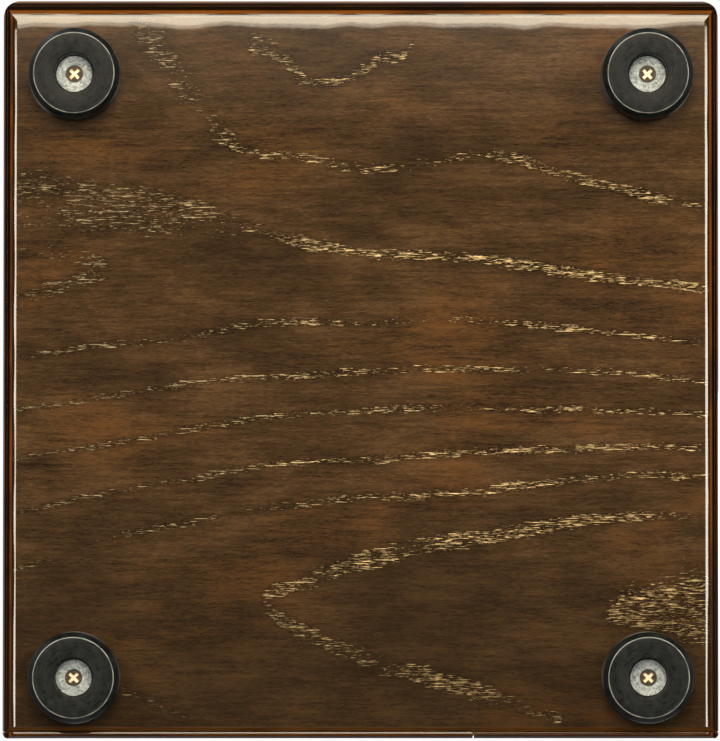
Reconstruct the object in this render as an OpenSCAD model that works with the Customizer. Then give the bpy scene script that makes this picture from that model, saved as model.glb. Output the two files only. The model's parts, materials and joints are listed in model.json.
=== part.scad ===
// Square secret-opening box in dark ash, standing on four rubber feet.
// The front panel slides aside to uncover a turn knob. The knob drives two bolts by a pinion,
// and with the bolts drawn back the lid lifts on two pins. A pin in the compartment floor frees
// a drawer whose front is the lower half of the left side.
// Front is -Y, right is +X. The origin is on the ground under the middle of the box.

/* [Case] */
// Overall width, left to right
box_w = 155; // [150:1:170]
// Overall depth, front to back
box_d = 160; // [155:1:180]
// Overall height, feet included
box_h = 98; // [96:1:115]
// Thickness of the outer walls
wall_t = 8; // [7.5:0.5:9]
// Thickness of the bottom board
base_t = 9; // [8.5:0.5:11]
// Share of the front that the sliding panel takes
panel_share = 0.656; // [0.64:0.002:0.67]
// Thickness of the front panel and the fixed piece beside it
front_t = 6; // [5.5:0.1:6.5]

/* [Edges] */
// Round along the side edges, top and bottom
side_round = 3.1; // [1.5:0.1:3.5]
// Round along the bottom edge at the back
back_round = 4.7; // [2:0.1:5.5]
// Round of the upright corners at the back
back_corner = 4.1; // [2:0.1:5]
// Round of the upright corners at the front and of the lower lip
front_corner = 1.4; // [0.8:0.1:1.4]
// Chamfer along the front edge of the bottom board
seam_chamfer = 1; // [0.4:0.1:1.4]
// Depth of the shadow line that runs round the waist
line_depth = 0.7; // [0.4:0.1:1]

/* [Feet] */
// Radius of a foot where it meets the board
foot_r = 10; // [8:0.5:12]
// Height of a foot
foot_h = 8; // [7:0.5:10]
// Distance of the foot centres from the sides
foot_side_inset = 15.6; // [13:0.1:20]
// Distance of the front foot centres from the front
foot_front_inset = 13.2; // [12.5:0.1:20]
// Distance of the back foot centres from the back
foot_back_inset = 16.5; // [13:0.1:20]

/* [Lid and lock] */
// Thickness of the lid
lid_t = 9.7; // [9:0.1:11]
// Turn of the knob that throws the bolts, in degrees
lock_turn = 75; // [60:1:75]
// Radius of the turn knob
knob_r = 12.5; // [10:0.5:13]
// How far the front panel slides
panel_travel = 35; // [30:1:36]

/* [Drawer] */
// Height of the space that holds the drawer
drawer_space = 27; // [24:0.5:28]
// Thickness of the compartment floor
floor_t = 5; // [4:0.5:6]
// Thickness of the drawer's sides and back
drawer_t = 5; // [4:0.5:6]

/* [Hidden] */
$fn = 96;

// Colours
dark_ash = [0.26, 0.17, 0.09];
pale_ash = [0.72, 0.58, 0.40];
maple = [0.80, 0.68, 0.50];
brass = [0.78, 0.62, 0.30];
steel = [0.66, 0.68, 0.70];
rubber = [0.12, 0.12, 0.11];
felt = [0.35, 0.08, 0.08];

// Gaps
slide_gap = 0.15;
wide_gap = 0.3;
running_fit = 0.05;
over = 1;

// Levels, from the ground up
half_w = box_w / 2;
half_d = box_d / 2;
base_z0 = foot_h;
base_z1 = base_z0 + base_t;
waist_z = base_z1 + drawer_space;
floor_z1 = waist_z + floor_t;
lid_z0 = box_h - lid_t;
rail_z0 = lid_z0 - wide_gap;

// Fronts and backs
lip_t = 1.45;
base_front_y = -half_d + lip_t + slide_gap;
inner_front_y0 = -half_d + front_t;
inner_front_y1 = inner_front_y0 + wall_t;
back_y0 = half_d - wall_t;
in_w = half_w - wall_t;

// Front panel, its tongues and the sloped edge of its lip
seam_x = half_w - panel_share * box_w;
panel_clear = 0.2;
panel_t = front_t - panel_clear;
panel_back_y = -half_d + panel_t;
tongue_in = 2.5;
tongue_y = inner_front_y0 - tongue_in;
tongue_t = 1.7;
tongue_h = 3;
lip_slope = 12;
lip_slope_w = 0.35;
lip_slope_z = base_z0 + 0.03;

// Stop pin and magnets of the front panel
stop_pin_r = 1.5;
stop_pin_in = 2.5;
stop_pin_out = 4;
stop_x = 28;
stop_z = base_z1 + 12;
magnet_r = 3;
magnet_t = 2;
magnet_x = seam_x + 9;
magnet_z = base_z1 + 10;

// Lid and hinge
lid_gap = 0.3;
pivot_r = lid_t / 2;
pivot_y = half_d - pivot_r;
pivot_z = lid_z0 + pivot_r;
hinge_pin_r = 2;
hinge_pin_in = 8.5;
hinge_pin_out = 6;
hinge_bore_in = hinge_pin_in + 0.2;
lid_half_w = in_w - lid_gap;
lid_front_y = inner_front_y1 + lid_gap;
batten_t = 4;
batten_w = 12;
batten_x = 45;
batten_y = [-38, 62];

// Lock: the pinion turns on an axis along Y
teeth = 12;
pitch_r = 6;
pressure = 25;
addendum = 0.9;
dedendum = 1.25;
backlash = 0.15;
tooth_pitch = 2 * PI * pitch_r / teeth;
gear_base_r = pitch_r * cos(pressure);
tip_r = pitch_r + addendum;
root_r = pitch_r - dedendum;
tip_roll = sqrt(pow(tip_r / gear_base_r, 2) - 1) * 180 / PI;
half_tooth = 90 / teeth - backlash / 4 / pitch_r * 180 / PI + tan(pressure) * 180 / PI - pressure;
flank_steps = 5;
knob_drop = 16.3;
knob_x = seam_x + panel_travel / 2;
knob_z = lid_z0 - knob_drop;
bolt_travel = pitch_r * lock_turn * PI / 180;
bolt_h = 4.75;
bolt_t = 5;
bolt_gap = 0.4;
bolt_y0 = inner_front_y1 + bolt_gap;
bolt_y1 = bolt_y0 + bolt_t;
bolt_z = pitch_r + dedendum;
upper_bolt_z = knob_z + bolt_z;
lower_bolt_z = knob_z - bolt_z - bolt_h;
keeper_w = 12;
keeper_side_gap = 7.5;
keeper_drop = 13.8;
keeper_plate = 1.5;
keeper_screw_r = 1;
keeper_screw_in = 3;
keeper_x1 = in_w - keeper_side_gap;
keeper_x0 = keeper_x1 - keeper_w;
keeper_y0 = inner_front_y1 + 2;
keeper_y1 = inner_front_y1 + 10.5;
keeper_z0 = lid_z0 - keeper_drop;
bolt_tip_x = keeper_x0 - 1;
spindle_r = 3;
spindle_end_r = 2;
lock_room = 12;
false_wall_y0 = inner_front_y1 + lock_room;
false_wall_t = 4;
false_wall_y1 = false_wall_y0 + false_wall_t;
guide_l = 6;
guide_arm = 3.5;
guide_bridge = 3;
guide_screw_r = 0.8;
left_guide_at = [-40, upper_bolt_z];
right_lower_guide_at = [knob_x + 17, lower_bolt_z];
right_upper_guide_at = [bolt_tip_x - 9.5, upper_bolt_z];

// Drawer
runner_t = 1.5;
runner_w = 6;
runner_inset = 9;
runner_gap = 0.1;
drawer_head_room = 2;
drawer_side_gap = 0.5;
drawer_back_gap = 7.5;
drawer_front_t = wall_t - 0.2;
drawer_bottom_t = 3;
drawer_z0 = base_z1 + runner_t + runner_gap;
drawer_z1 = waist_z - drawer_head_room;
drawer_y0 = inner_front_y1 + drawer_side_gap;
drawer_y1 = back_y0 - drawer_side_gap;
drawer_in_y = [drawer_y0 + drawer_t, drawer_y1 - drawer_t];
drawer_x0 = -half_w + drawer_front_t;
drawer_x1 = in_w - drawer_back_gap;
drawer_pin_r = 3;
drawer_pin_gap = 0.6;
drawer_pin_x = drawer_x1 - drawer_t - drawer_pin_r - drawer_pin_gap;
drawer_pin_y = 55;
drawer_pin_throw = 8;
felt_t = 1;
felt_inset = 0.5;
drawer_pin_top = floor_z1 + felt_t + drawer_pin_throw;

// Feet
foot_spots = [
  [-half_w + foot_side_inset, -half_d + foot_front_inset],
  [half_w - foot_side_inset, -half_d + foot_front_inset],
  [-half_w + foot_side_inset, half_d - foot_back_inset],
  [half_w - foot_side_inset, half_d - foot_back_inset]
];
foot_rim_in = 1.3;
foot_bevel_h = 1.7;
washer_r = 3.9;
washer_eye_r = 1.95;
washer_z = 4;
washer_t = 0.8;
screw_r = 1.2;
screw_hole_r = screw_r + 0.1;
screw_head_r = 1.85;
screw_point = 1.2;
screw_top = base_z0 + 7;

// Dowels
dowel_r = 2.5;
dowel_reach = 5;
wall_dowel_z = [waist_z + 14, waist_z + 34];
base_dowels_back = [-40, 0, 40];
base_dowels_front = [-50, 20, 58];

// ---------- shared shapes ----------

// A block between two corners
module block(x, y, z) {
  translate([x[0], y[0], z[0]]) cube([x[1] - x[0], y[1] - y[0], z[1] - z[0]]);
}

// A cylinder along X, from x0 to x1
module rod_x(x0, x1, y, z, r) {
  translate([x0, y, z]) rotate([0, 90, 0]) cylinder(r = r, h = x1 - x0);
}

// A cylinder along Y, from y0 to y1
module rod_y(y0, y1, x, z, r) {
  translate([x, y0, z]) rotate([-90, 0, 0]) cylinder(r = r, h = y1 - y0);
}

// A rectangle with its own radius at each corner: [left low, right low, left high, right high]
module rounded_rect(w, low, high, r) {
  difference() {
    translate([-w / 2, low]) square([w, high - low]);
    for (k = [0:3]) {
      x_side = k % 2 == 0 ? -1 : 1;
      y_side = k < 2 ? -1 : 1;
      corner_y = k < 2 ? low : high;
      translate([x_side * w / 2, corner_y]) scale([x_side, y_side]) corner_waste(r[k]);
    }
  }
}

// What a round of radius r takes off the corner of a rectangle that lies towards -X, -Y
module corner_waste(r) {
  difference() {
    translate([-r, -r]) square([r + over, r + over]);
    translate([-r, -r]) circle(r = r);
  }
}

// The outline of the closed box seen from above, drawn in by an inset
module plan(inset = 0) {
  front_r = max(front_corner - inset, 0.2);
  back_r = max(back_corner - inset, 0.2);
  rounded_rect(box_w - 2 * inset, -half_d + inset, half_d - inset, [front_r, front_r, back_r, back_r]);
}

// The outer form of the closed box, without its feet
module case_form() {
  intersection() {
    translate([0, 0, base_z0]) linear_extrude(box_h - base_z0) plan();
    translate([0, half_d, 0])
      rotate([90, 0, 0])
        linear_extrude(box_d)
          rounded_rect(box_w, base_z0, box_h, [side_round, side_round, side_round, side_round]);
    side_form();
  }
}

// The same form seen from the side: rounds at the bottom front, bottom back and top front
module side_form() {
  translate([-half_w, 0, 0])
    rotate([90, 0, 90])
      linear_extrude(box_w)
        rounded_rect(box_d, base_z0, box_h, [front_corner, back_round, side_round, 0.5]);
}

// The shadow line round the waist, which hides the joint above the drawer
module waist_line() {
  line_h = 0.8;
  translate([0, 0, waist_z - line_h / 2])
    linear_extrude(line_h)
      difference() {
        square([box_w + 4, box_d + 4], center = true);
        plan(line_depth);
      }
}

// A board cut out of the outer form, with the shadow line
module outer_board(x, y, z) {
  difference() {
    intersection() {
      block(x, y, z);
      case_form();
    }
    waist_line();
  }
}

// ---------- case ----------

module base_board() {
  color(dark_ash)
    difference() {
      intersection() {
        block([-half_w - over, half_w + over], [base_front_y, half_d + over], [base_z0, base_z1]);
        case_form();
      }
      tongue_groove(base_z1 - tongue_h - slide_gap, base_z1 + over);
      translate([0, base_front_y, base_z0])
        rotate([45, 0, 0])
          cube([box_w + 2, seam_chamfer * sqrt(2), seam_chamfer * sqrt(2)], center = true);
      for (p = foot_spots) {
        translate([p[0], p[1], base_z0 - over]) cylinder(r = screw_r, h = screw_top - base_z0 + over);
      }
      base_dowel_rods();
    }
}

// The groove that a tongue of the front pieces runs in
module tongue_groove(z0, z1) {
  block(
    [-half_w - over, half_w + over],
    [tongue_y - tongue_t / 2 - slide_gap, tongue_y + tongue_t / 2 + slide_gap],
    [z0, z1]
  );
}

module left_wall() {
  color(dark_ash)
    difference() {
      outer_board(
        [-half_w - over, -in_w],
        [inner_front_y0, half_d + over],
        [waist_z + slide_gap / 2, box_h + over]
      );
      wall_dowel_rods(-1);
      rod_x(-in_w - hinge_pin_out, -in_w + over, pivot_y, pivot_z, hinge_pin_r);
    }
}

module right_wall() {
  color(dark_ash)
    difference() {
      outer_board([in_w, half_w + over], [inner_front_y0, half_d + over], [base_z1, box_h + over]);
      wall_dowel_rods(1);
      rod_x(in_w - over, in_w + hinge_pin_out, pivot_y, pivot_z, hinge_pin_r);
    }
}

module back_wall() {
  color(dark_ash)
    difference() {
      outer_board([-in_w, in_w], [back_y0, half_d + over], [base_z1, rail_z0]);
      floor_groove();
      wall_dowel_rods(-1);
      wall_dowel_rods(1);
      base_dowel_rods();
    }
}

module inner_front_board() {
  recess_r = knob_r + 1.5;
  recess_depth = 5.6;
  slot_depth = 4.5;
  color(pale_ash)
    difference() {
      block([-in_w, in_w], [inner_front_y0, inner_front_y1], [base_z1, rail_z0]);
      rod_y(inner_front_y0 - over, inner_front_y0 + recess_depth, knob_x, knob_z, recess_r);
      rod_y(inner_front_y0, inner_front_y1 + over, knob_x, knob_z, spindle_r + running_fit);
      stop_slot(inner_front_y0 - over, inner_front_y0 + slot_depth);
      rod_y(inner_front_y0 - over, inner_front_y0 + magnet_t, magnet_x, magnet_z, magnet_r);
      floor_groove();
      wall_dowel_rods(-1);
      wall_dowel_rods(1);
      base_dowel_rods();
    }
}

// The slot that limits the front panel: the stop pin runs from one end to the other
module stop_slot(y0, y1) {
  r = stop_pin_r + wide_gap;
  rod_y(y0, y1, stop_x, stop_z, r);
  rod_y(y0, y1, stop_x + panel_travel, stop_z, r);
  block([stop_x, stop_x + panel_travel], [y0, y1], [stop_z - r, stop_z + r]);
}

module floor_groove() {
  block([-in_w - over, in_w + over], [inner_front_y1 - 2, back_y0 + 2], [waist_z, floor_z1]);
}

// A front piece from x0 to x1, with its lip over the base and its tongues
module front_piece(x0, x1, thick, gap) {
  tongue = [tongue_y - tongue_t / 2, tongue_y + tongue_t / 2];
  difference() {
    intersection() {
      union() {
        block([x0, x1], [-half_d - over, -half_d + thick], [base_z1 + gap, rail_z0 - gap]);
        block([x0, x1], [-half_d - over, -half_d + lip_t], [base_z0 - over, base_z1 + over]);
        block([x0, x1], tongue, [base_z1 - tongue_h, rail_z0 + tongue_h]);
      }
      case_form();
    }
    waist_line();
  }
}

module front_cheek() {
  color(dark_ash) front_piece(-half_w - over, seam_x - slide_gap, front_t, 0);
}

module front_top_rail() {
  color(dark_ash)
    difference() {
      intersection() {
        union() {
          block([-half_w - over, half_w + over], [-half_d - over, inner_front_y0], [rail_z0, box_h + over]);
          block([-in_w, in_w], [inner_front_y0, inner_front_y1], [rail_z0, box_h + over]);
        }
        case_form();
      }
      tongue_groove(rail_z0 - over, rail_z0 + tongue_h + slide_gap);
    }
}

module floor_board() {
  color(pale_ash)
    difference() {
      block([-in_w, in_w], [inner_front_y1 - 2, back_y0 + 2], [waist_z, floor_z1]);
      translate([drawer_pin_x, drawer_pin_y, waist_z - over])
        cylinder(r = drawer_pin_r + running_fit, h = floor_t + 2 * over);
    }
}

module false_wall() {
  color(pale_ash)
    difference() {
      block([-in_w, in_w], [false_wall_y0, false_wall_y1], [floor_z1, rail_z0]);
      rod_y(false_wall_y0 - over, false_wall_y1 - 1, knob_x, knob_z, spindle_end_r + running_fit);
    }
}

module compartment_felt() {
  color(felt)
    difference() {
      block(
        [-in_w + felt_inset, in_w - felt_inset],
        [false_wall_y1 + felt_inset, back_y0 - felt_inset],
        [floor_z1, floor_z1 + felt_t]
      );
      translate([drawer_pin_x, drawer_pin_y, floor_z1 - over])
        cylinder(r = drawer_pin_r + 1, h = felt_t + 2 * over);
    }
}

// A waxed strip on the base that the drawer runs on
module drawer_runner(y) {
  color(maple)
    block([-in_w, drawer_x1], [y - runner_w / 2, y + runner_w / 2], [base_z1, base_z1 + runner_t]);
}

module drawer_runner_front() {
  drawer_runner(drawer_y0 + runner_inset);
}

module drawer_runner_back() {
  drawer_runner(drawer_y1 - runner_inset);
}

// Dowels between a side wall and the boards that end on it
module wall_dowel_rods(side) {
  for (z = wall_dowel_z) {
    for (y = [inner_front_y0 + wall_t / 2, back_y0 + wall_t / 2]) {
      rod_x(side * in_w - dowel_reach, side * in_w + dowel_reach, y, z, dowel_r);
    }
  }
}

module wall_dowels() {
  color(maple) {
    wall_dowel_rods(-1);
    wall_dowel_rods(1);
  }
}

module base_dowel_rod(x, y) {
  translate([x, y, base_z1 - dowel_reach]) cylinder(r = dowel_r, h = 2 * dowel_reach);
}

// Dowels between the base and the boards that stand on it
module base_dowel_rods() {
  for (x = base_dowels_back) {
    base_dowel_rod(x, back_y0 + wall_t / 2);
  }
  for (x = base_dowels_front) {
    base_dowel_rod(x, inner_front_y0 + wall_t / 2);
  }
}

module base_dowels() {
  color(maple) base_dowel_rods();
}

module left_hinge_pin() {
  color(brass) rod_x(-in_w - hinge_pin_out, -in_w + hinge_pin_in, pivot_y, pivot_z, hinge_pin_r);
}

module right_hinge_pin() {
  color(brass) rod_x(in_w - hinge_pin_in, in_w + hinge_pin_out, pivot_y, pivot_z, hinge_pin_r);
}

module case_magnet() {
  color(steel) rod_y(inner_front_y0, inner_front_y0 + magnet_t, magnet_x, magnet_z, magnet_r);
}

// ---------- feet ----------

// A foot with a bevelled rim. The washer lies on the step of its counterbore.
module foot(k) {
  seat_r = washer_r + 0.25;
  step_z = washer_z + washer_t;
  color(rubber)
    translate([foot_spots[k][0], foot_spots[k][1], 0])
      rotate_extrude()
        polygon([
          [screw_hole_r, foot_h],
          [screw_hole_r, step_z],
          [washer_r, step_z],
          [washer_r, washer_z],
          [seat_r, washer_z],
          [seat_r, 0],
          [foot_r - foot_rim_in, 0],
          [foot_r - 0.2, foot_bevel_h],
          [foot_r, foot_h]
        ]);
}

module foot_front_left() {
  foot(0);
}

module foot_front_right() {
  foot(1);
}

module foot_back_left() {
  foot(2);
}

module foot_back_right() {
  foot(3);
}

module foot_washers() {
  color(steel)
    for (p = foot_spots) {
      translate([p[0], p[1], 0])
        rotate_extrude()
          polygon([
            [washer_eye_r, washer_z],
            [washer_r, washer_z],
            [washer_r, washer_z + washer_t],
            [screw_hole_r, washer_z + washer_t]
          ]);
    }
}

module foot_screws() {
  color(brass)
    for (p = foot_spots) {
      translate([p[0], p[1], 0]) foot_screw();
    }
}

// A countersunk screw, head down, with a cross recess
module foot_screw() {
  head_z = washer_z + 0.15;
  slot = [2.6, 0.7, 1.1];
  difference() {
    rotate_extrude()
      polygon([
        [0, head_z],
        [screw_head_r, head_z],
        [screw_r, washer_z + washer_t],
        [screw_r, screw_top - screw_point],
        [0, screw_top]
      ]);
    for (a = [45, 135]) {
      translate([0, 0, head_z]) rotate([0, 0, a]) cube(slot, center = true);
    }
  }
}

// ---------- front panel ----------

module front_panel() {
  color(dark_ash)
    difference() {
      front_piece(seam_x, half_w + over, panel_t, slide_gap);
      rod_y(panel_back_y - magnet_t, panel_back_y + over, magnet_x, magnet_z, magnet_r);
      rod_y(panel_back_y - stop_pin_in, panel_back_y + over, stop_x, stop_z, stop_pin_r);
      lip_slope_cut();
    }
}

// Takes the inner edge off the panel's lip at a low slope
module lip_slope_cut() {
  y0 = -half_d + lip_t - lip_slope_w;
  y1 = -half_d + lip_t + over;
  translate([seam_x - over, 0, 0])
    rotate([90, 0, 90])
      linear_extrude(half_w - seam_x + 2 * over)
        polygon([
          [y0, base_z0 - over],
          [y1, base_z0 - over],
          [y1, lip_slope_z + (y1 - y0) * tan(lip_slope)],
          [y0, lip_slope_z]
        ]);
}

module panel_magnet() {
  color(steel) rod_y(panel_back_y - magnet_t, panel_back_y, magnet_x, magnet_z, magnet_r);
}

module panel_stop_pin() {
  color(brass) rod_y(panel_back_y - stop_pin_in, inner_front_y0 + stop_pin_out, stop_x, stop_z, stop_pin_r);
}

// ---------- lock ----------

// The knob: a disc with a grip bar across it
module lock_knob() {
  disc_y0 = inner_front_y0 + 2.6;
  disc_y1 = inner_front_y0 + 5.2;
  grip_y0 = inner_front_y0 + 0.4;
  grip_w = 6;
  color(brass)
    difference() {
      union() {
        rod_y(disc_y0, disc_y1, knob_x, knob_z, knob_r);
        intersection() {
          rod_y(grip_y0, disc_y1, knob_x, knob_z, knob_r - 1);
          block(
            [knob_x - grip_w / 2, knob_x + grip_w / 2],
            [grip_y0, disc_y1],
            [knob_z - knob_r, knob_z + knob_r]
          );
        }
      }
      rod_y(disc_y0 + 1, disc_y1 + over, knob_x, knob_z, spindle_r);
    }
}

module lock_spindle() {
  color(steel) {
    rod_y(inner_front_y0 + 3.6, bolt_y1 + 0.2, knob_x, knob_z, spindle_r);
    rod_y(bolt_y1, false_wall_y1 - 1.5, knob_x, knob_z, spindle_end_r);
  }
}

// One point of a pinion flank, at a roll angle in degrees
function roll_point(t) = gear_base_r * [cos(t) + t * PI / 180 * sin(t), sin(t) - t * PI / 180 * cos(t)];
function turned(p, a) = [p[0] * cos(a) - p[1] * sin(a), p[0] * sin(a) + p[1] * cos(a)];

// One side of a tooth that points along +X
function flank() = [
  for (k = [0:flank_steps]) turned(roll_point(tip_roll * k / flank_steps), -half_tooth)
];

module pinion_tooth() {
  low = flank();
  high = [for (k = [flank_steps:-1:0]) [low[k][0], -low[k][1]]];
  foot_low = [[root_r - 0.6, low[0][1]]];
  foot_high = [[root_r - 0.6, -low[0][1]]];
  polygon(concat(foot_low, low, high, foot_high));
}

module lock_pinion() {
  color(brass)
    translate([knob_x, bolt_y0 + 0.4, knob_z])
      rotate([-90, 0, 0])
        linear_extrude(bolt_t - 0.8)
          difference() {
            union() {
              circle(r = root_r);
              for (k = [0:teeth - 1]) {
                rotate(360 * k / teeth) pinion_tooth();
              }
            }
            circle(r = spindle_r);
          }
}

// Rack teeth that point down from z = 0, between the tooth numbers first and last
module rack_teeth(first, last) {
  slope = tan(pressure);
  mid_w = tooth_pitch / 2 - backlash;
  tip = dedendum + addendum;
  for (k = [first:last]) {
    translate([(k + 0.5) * tooth_pitch, 0])
      polygon([
        [-mid_w / 2 - dedendum * slope, 0],
        [-mid_w / 2 + addendum * slope, -tip],
        [mid_w / 2 - addendum * slope, -tip],
        [mid_w / 2 + dedendum * slope, 0]
      ]);
  }
}

// The outline of the left bolt, from its tip at the left to the end of its rack
module left_bolt_outline() {
  bar_x1 = 13;
  translate([0, bolt_z]) rack_teeth(-2, 3);
  translate([-bolt_tip_x - knob_x, bolt_z - 0.01]) square([bolt_tip_x + knob_x + bar_x1, bolt_h + 0.01]);
}

// The outline of the right bolt: a low rack, a riser, and a tip at the same height as the left one
module right_bolt_outline() {
  bar_x0 = -15;
  riser_x0 = 31;
  riser_w = 5;
  tip_x = bolt_tip_x - knob_x;
  mirror([0, 1]) translate([0, bolt_z]) rack_teeth(-4, 1);
  translate([bar_x0, -bolt_z - bolt_h]) square([riser_x0 + riser_w - bar_x0, bolt_h + 0.01]);
  translate([riser_x0, -bolt_z - bolt_h]) square([riser_w, 2 * bolt_z + 2 * bolt_h]);
  translate([riser_x0, bolt_z]) square([tip_x - riser_x0, bolt_h]);
}

// Raises an XZ outline round the knob's axis into a bolt
module bolt_from_outline() {
  translate([knob_x, bolt_y1, knob_z])
    rotate([90, 0, 0])
      linear_extrude(bolt_t)
        children();
}

module left_bolt() {
  color(steel) bolt_from_outline() left_bolt_outline();
}

module right_bolt() {
  color(steel) bolt_from_outline() right_bolt_outline();
}

// A staple that holds a bolt against the inner front board
module bolt_guide(x, z) {
  slot_y1 = bolt_y1 + slide_gap;
  difference() {
    block(
      [x, x + guide_l],
      [inner_front_y1, slot_y1 + guide_bridge],
      [z - slide_gap - guide_arm, z + bolt_h + slide_gap + guide_arm]
    );
    block(
      [x - over, x + guide_l + over],
      [inner_front_y1 - over, slot_y1],
      [z - slide_gap, z + bolt_h + slide_gap]
    );
    for (screw_z = guide_screw_z(z)) {
      rod_y(inner_front_y1 - over, slot_y1 + guide_bridge + over, x + guide_l / 2, screw_z, guide_screw_r);
    }
  }
}

// Heights of the two screws of a guide whose slot begins at z
function guide_screw_z(z) = [z - guide_arm / 2, z + bolt_h + guide_arm / 2];

module left_bolt_guide() {
  color(maple) bolt_guide(left_guide_at[0], left_guide_at[1]);
}

module right_lower_bolt_guide() {
  color(maple) bolt_guide(right_lower_guide_at[0], right_lower_guide_at[1]);
}

module right_upper_bolt_guide() {
  color(maple) bolt_guide(right_upper_guide_at[0], right_upper_guide_at[1]);
}

// Screws of the three guides, with their tips in the inner front board's face
module guide_screws() {
  head_y = bolt_y1 + slide_gap + guide_bridge;
  head_t = 0.6;
  head_r = 1.5;
  color(steel)
    for (g = [left_guide_at, right_lower_guide_at, right_upper_guide_at]) {
      for (z = guide_screw_z(g[1])) {
        rod_y(inner_front_y1, head_y, g[0] + guide_l / 2, z, guide_screw_r);
        rod_y(head_y, head_y + head_t, g[0] + guide_l / 2, z, head_r);
      }
    }
}

// ---------- lid ----------

// The lid turns on the pins. Its lower back edge is round about them, and its square upper back
// edge comes down on the back wall and stops it.
module lid_board() {
  color(dark_ash)
    difference() {
      translate([-lid_half_w, 0, 0])
        rotate([90, 0, 90])
          linear_extrude(2 * lid_half_w) {
            translate([lid_front_y, lid_z0]) square([pivot_y - lid_front_y, lid_t]);
            translate([pivot_y - over, pivot_z]) square([half_d - pivot_y + over, box_h - pivot_z]);
            translate([pivot_y, pivot_z]) circle(r = pivot_r);
          }
      for (side = [-1, 1]) {
        edge_x = side * lid_half_w;
        rod_x(edge_x - hinge_bore_in, edge_x + hinge_bore_in, pivot_y, pivot_z, hinge_pin_r + running_fit);
      }
    }
}

module lid_batten(x) {
  color(dark_ash) block([x - batten_w / 2, x + batten_w / 2], batten_y, [lid_z0 - batten_t, lid_z0]);
}

module lid_batten_left() {
  lid_batten(-batten_x);
}

module lid_batten_right() {
  lid_batten(batten_x);
}

// A hook under the lid. The bolt's tip passes over its ledge.
module keeper(side) {
  ledge_h = 3.5;
  web = 2;
  x = side > 0 ? [keeper_x0, keeper_x1] : [-keeper_x1, -keeper_x0];
  color(brass)
    difference() {
      union() {
        block(x, [keeper_y1 - web, keeper_y1], [keeper_z0, lid_z0]);
        block(x, [keeper_y0, keeper_y1], [keeper_z0, keeper_z0 + ledge_h]);
        block(x, [keeper_y0, keeper_y1], [lid_z0 - keeper_plate, lid_z0]);
      }
      keeper_screw_rods(side, lid_z0 - keeper_plate - over, lid_z0 + over, keeper_screw_r);
    }
}

module keeper_screw_rods(side, z0, z1, r) {
  for (x = [keeper_x0 + keeper_screw_in, keeper_x1 - keeper_screw_in]) {
    translate([side * x, keeper_y0 + keeper_screw_in, z0]) cylinder(r = r, h = z1 - z0);
  }
}

module left_keeper() {
  keeper(-1);
}

module right_keeper() {
  keeper(1);
}

// Pan heads under the keepers' plates, with their shanks in the plates
module keeper_screws() {
  plate_z0 = lid_z0 - keeper_plate;
  head_t = 0.8;
  head_r = 1.8;
  color(steel)
    for (side = [-1, 1]) {
      keeper_screw_rods(side, plate_z0, lid_z0, keeper_screw_r);
      keeper_screw_rods(side, plate_z0 - head_t, plate_z0, head_r);
    }
}

// ---------- drawer ----------

module drawer_front() {
  color(dark_ash)
    outer_board(
      [-half_w - over, drawer_x0],
      [inner_front_y0 + wide_gap, half_d + over],
      [base_z1 + slide_gap, waist_z - slide_gap / 2]
    );
}

module drawer_side_front() {
  color(pale_ash) block([drawer_x0, drawer_x1], [drawer_y0, drawer_y0 + drawer_t], [drawer_z0, drawer_z1]);
}

module drawer_side_back() {
  color(pale_ash) block([drawer_x0, drawer_x1], [drawer_y1 - drawer_t, drawer_y1], [drawer_z0, drawer_z1]);
}

module drawer_back() {
  color(pale_ash) block([drawer_x1 - drawer_t, drawer_x1], drawer_in_y, [drawer_z0, drawer_z1]);
}

module drawer_bottom() {
  color(pale_ash)
    block([drawer_x0, drawer_x1 - drawer_t], drawer_in_y, [drawer_z0, drawer_z0 + drawer_bottom_t]);
}

module drawer_felt() {
  felt_z = drawer_z0 + drawer_bottom_t;
  color(felt)
    block(
      [drawer_x0 + felt_inset, drawer_x1 - drawer_t - felt_inset],
      [drawer_in_y[0] + felt_inset, drawer_in_y[1] - felt_inset],
      [felt_z, felt_z + felt_t]
    );
}

// The pin that drops in front of the drawer's back, drawn up at rest
module drawer_pin() {
  color(brass)
    translate([drawer_pin_x, drawer_pin_y, waist_z])
      cylinder(r = drawer_pin_r, h = drawer_pin_top + 2 - waist_z);
}

module drawer_pin_knob() {
  color(dark_ash)
    translate([drawer_pin_x, drawer_pin_y, drawer_pin_top])
      rotate_extrude()
        polygon([
          [0, 2],
          [drawer_pin_r, 2],
          [drawer_pin_r, 0],
          [4.6, 0],
          [5.6, 1],
          [6, 3],
          [5.6, 5],
          [4, 6],
          [0, 6.3]
        ]);
}

base_board();
left_wall();
right_wall();
back_wall();
inner_front_board();
front_cheek();
front_top_rail();
floor_board();
false_wall();
compartment_felt();
drawer_runner_front();
drawer_runner_back();
wall_dowels();
base_dowels();
left_hinge_pin();
right_hinge_pin();
left_bolt_guide();
right_lower_bolt_guide();
right_upper_bolt_guide();
guide_screws();
case_magnet();
foot_front_left();
foot_front_right();
foot_back_left();
foot_back_right();
foot_washers();
foot_screws();
front_panel();
panel_magnet();
panel_stop_pin();
lock_knob();
lock_spindle();
lock_pinion();
left_bolt();
right_bolt();
lid_board();
lid_batten_left();
lid_batten_right();
left_keeper();
right_keeper();
keeper_screws();
drawer_front();
drawer_side_front();
drawer_side_back();
drawer_back();
drawer_bottom();
drawer_felt();
drawer_pin();
drawer_pin_knob();
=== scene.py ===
"""Looks of the puzzle box: stained ash boards, rubber feet, metal fittings and felt, in a plain studio."""

import json
import math

import bmesh
import bpy
from mathutils import Matrix, Vector, noise

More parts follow.
